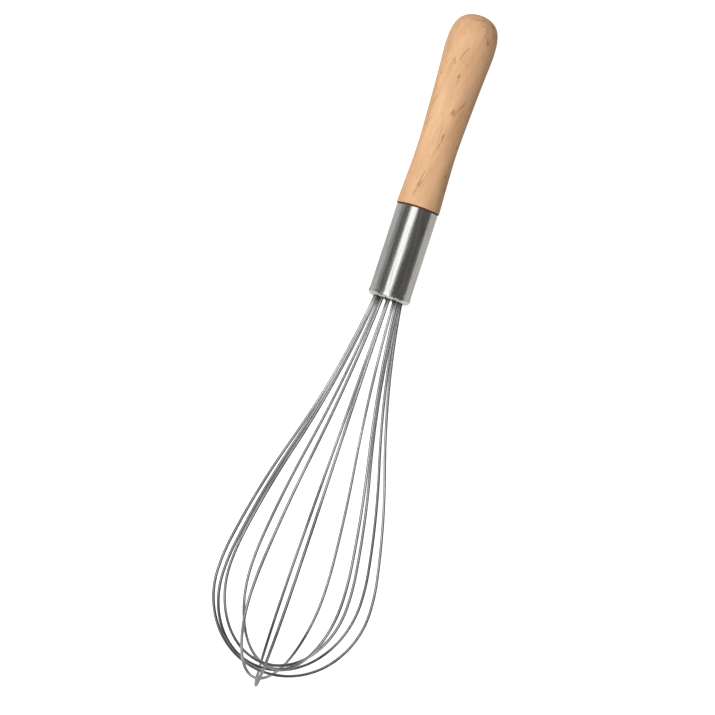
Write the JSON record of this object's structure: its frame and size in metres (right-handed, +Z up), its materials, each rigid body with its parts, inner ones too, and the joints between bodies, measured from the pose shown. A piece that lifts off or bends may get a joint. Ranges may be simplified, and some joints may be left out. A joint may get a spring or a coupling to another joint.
{
  "type": "balloon whisk",
  "caption": "Hand whisk with a turned wooden handle, a steel ferrule and a balloon-shaped cage of crossing spring wires, lying on its side.",
  "frame": {"origin": "centre of the bounding box at the surface the whisk lies on", "axes": "+X along the whisk towards the wire tip, +Z up, +Y to the left when looking along +X"},
  "size_m": [0.2964, 0.0662, 0.069],
  "materials": {
    "beech": "turned, fine sanded, lightly oiled beech",
    "ferrule_steel": "drawn stainless tube, fine polish along its length",
    "wire_steel": "bright drawn stainless spring wire",
    "core_plastic": "dark moulded plastic",
    "cast_resin": "dark cast epoxy resin",
    "adhesive": "thin clear adhesive film"
  },
  "bodies": {
    "root": {"wood_handle": "beech", "ferrule": "ferrule_steel", "wire_loop_1": "wire_steel", "wire_loop_2": "wire_steel", "wire_loop_3": "wire_steel", "wire_loop_4": "wire_steel", "wire_loop_5": "wire_steel", "wire_loop_6": "wire_steel", "core_plug": "core_plastic", "resin_fill": "cast_resin", "tenon_glue": "adhesive"}
  },
  "joints": []
}
